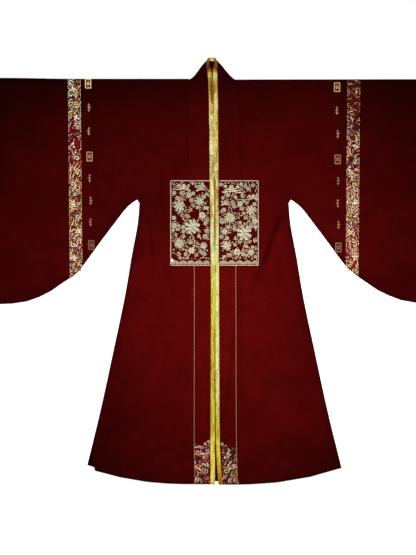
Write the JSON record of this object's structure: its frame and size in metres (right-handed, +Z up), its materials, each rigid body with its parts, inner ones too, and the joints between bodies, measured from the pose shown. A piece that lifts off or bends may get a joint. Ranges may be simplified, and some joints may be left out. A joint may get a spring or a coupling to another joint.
{
  "type": "hanfu robe",
  "caption": "Wide-sleeved open-front robe laid flat on its back: dark red cloth, gold edging down the opening, a chest square, brocade sleeve bands and a gold cord beside each front band.",
  "frame": {"origin": "on the surface that the robe lies on, under the middle of its outline", "axes": "+Z up, out of the robe's front; +Y from the hem to the collar; +X across the sleeves, to the right as seen from above"},
  "size_m": [2.1, 1.406, 0.0099],
  "materials": {
    "red_cloth": "matt crepe weave, dark red",
    "gold_edging": "satin weave, yellow gold",
    "badge": "dark red ground with pale gold embroidery",
    "brocade": "gold, silver and red figured brocade",
    "gold_cord": "twisted gold cord"
  },
  "bodies": {
    "root": {"back": "red_cloth", "front_left": "red_cloth", "front_right": "red_cloth", "sleeve_left": "red_cloth", "sleeve_right": "red_cloth", "band_left": "red_cloth", "band_right": "red_cloth", "collar_back": "red_cloth", "edging_left": "gold_edging", "edging_right": "gold_edging", "edging_back": "gold_edging", "badge_left": "badge", "badge_right": "badge", "brocade_left": "brocade", "brocade_right": "brocade", "piping_left": "gold_cord", "piping_right": "gold_cord"}
  },
  "joints": []
}
